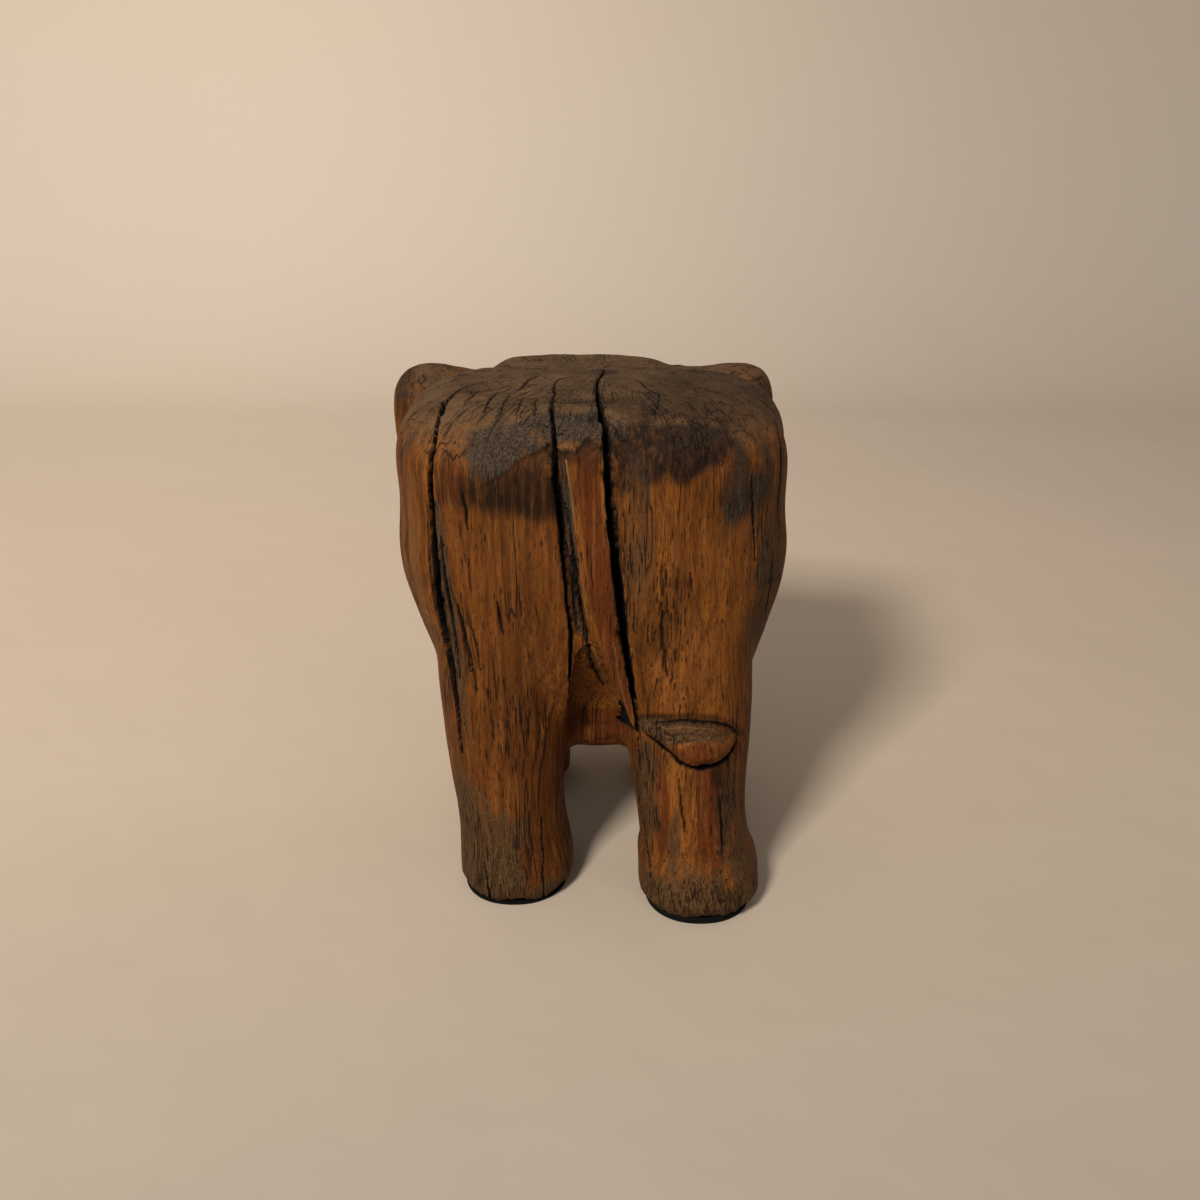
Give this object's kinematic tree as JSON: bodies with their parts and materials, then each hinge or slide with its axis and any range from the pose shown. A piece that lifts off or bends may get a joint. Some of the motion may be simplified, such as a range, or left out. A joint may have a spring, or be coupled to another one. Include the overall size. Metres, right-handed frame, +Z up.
{
  "type": "carved animal stool",
  "caption": "Low solid wood stool carved from one log as a standing elephant, with a flat back to sit on, inlaid eyes and tusks, and foot pads.",
  "frame": {"origin": "middle of the bounding box, on the floor", "axes": "+Z up; the elephant faces +Y, and +X is its right side"},
  "size_m": [0.3202, 0.3574, 0.4],
  "materials": {
    "log_wood": "weathered, hand-carved solid hardwood, rubbed with oil",
    "tusk_wood": "pale close-grained wood, smoothed and yellowed",
    "eye_wood": "near-black wood, polished",
    "pad_rubber": "black rubber sheet"
  },
  "bodies": {
    "root": {"carved_log": "log_wood", "left_tusk": "tusk_wood", "right_tusk": "tusk_wood", "left_eye": "eye_wood", "right_eye": "eye_wood", "hind_left_foot_pad": "pad_rubber", "hind_right_foot_pad": "pad_rubber", "front_left_foot_pad": "pad_rubber", "front_right_foot_pad": "pad_rubber"}
  },
  "joints": []
}
